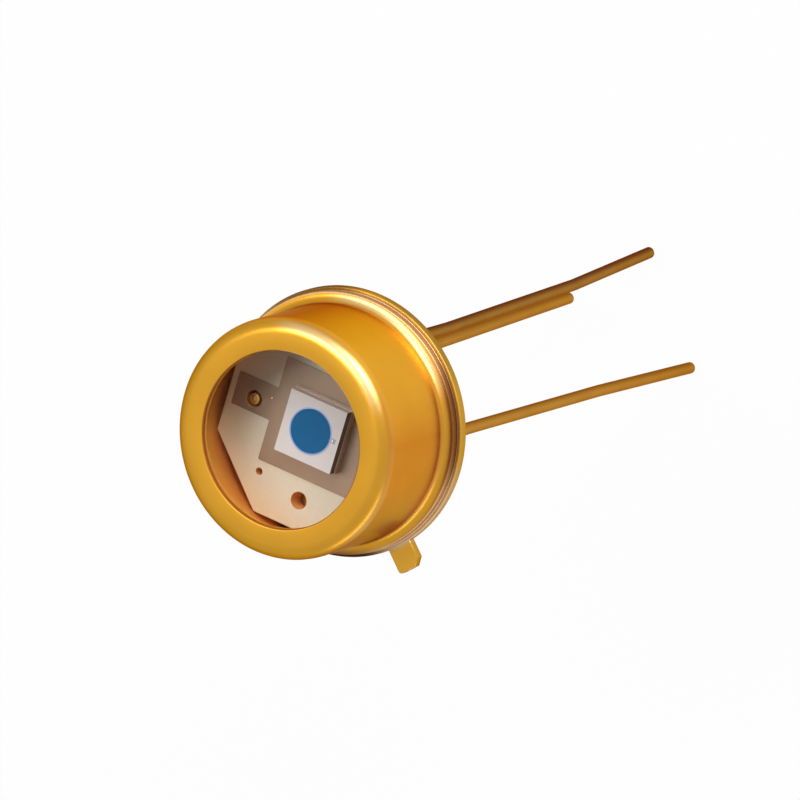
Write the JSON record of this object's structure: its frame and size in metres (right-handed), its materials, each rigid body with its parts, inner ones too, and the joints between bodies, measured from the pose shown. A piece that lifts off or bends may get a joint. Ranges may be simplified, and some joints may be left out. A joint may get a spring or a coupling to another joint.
{
  "type": "photodiode",
  "caption": "Photodiode in a gold-plated round metal can with a flanged header, index tab, flat glass window and long wire leads; turns light into current.",
  "frame": {"origin": "centre of the seating plane, the underside of the header flange", "axes": "+Z along the optical axis, out of the window; +X towards lead 1, the anode; the leads run along -Z"},
  "size_m": [0.0092, 0.0092, 0.0247],
  "materials": {
    "gold_plate": "gold-plated drawn and stamped alloy, satin",
    "lead_gold": "gold-plated drawn wire, satin",
    "weld_metal": "resistance-welded seam, dull",
    "window_glass": "clear polished",
    "solder_glass": "fused dark glass",
    "bead_glass": "fused dark glass",
    "braze_metal": "melted braze, satin",
    "white_ceramic": "fired alumina, matte",
    "adhesive": "cured epoxy",
    "pad_metal": "fired thick film, matte",
    "solder": "dull solder",
    "submount_ceramic": "sawn ceramic, matte",
    "silicon": "polished wafer with metal field",
    "blue_film": "anti-reflection film",
    "contact_metal": "evaporated metal",
    "bond_gold": "drawn gold wire"
  },
  "bodies": {
    "root": {"header": "gold_plate", "cap": "gold_plate", "weld_ring": "weld_metal", "window": "window_glass", "window_seal": "solder_glass", "lead_anode": "lead_gold", "lead_case": "lead_gold", "lead_cathode": "lead_gold", "glass_seal_anode": "bead_glass", "glass_seal_cathode": "bead_glass", "case_lead_braze": "braze_metal", "ceramic_substrate": "white_ceramic", "substrate_adhesive": "adhesive", "die_pad": "pad_metal", "submount_solder": "solder", "chip_submount": "submount_ceramic", "die_attach": "solder", "photodiode_chip": "silicon", "blue_coating": "blue_film", "anode_contact": "contact_metal", "anode_bond_wire": "bond_gold", "cathode_bond_wire": "bond_gold"}
  },
  "joints": []
}
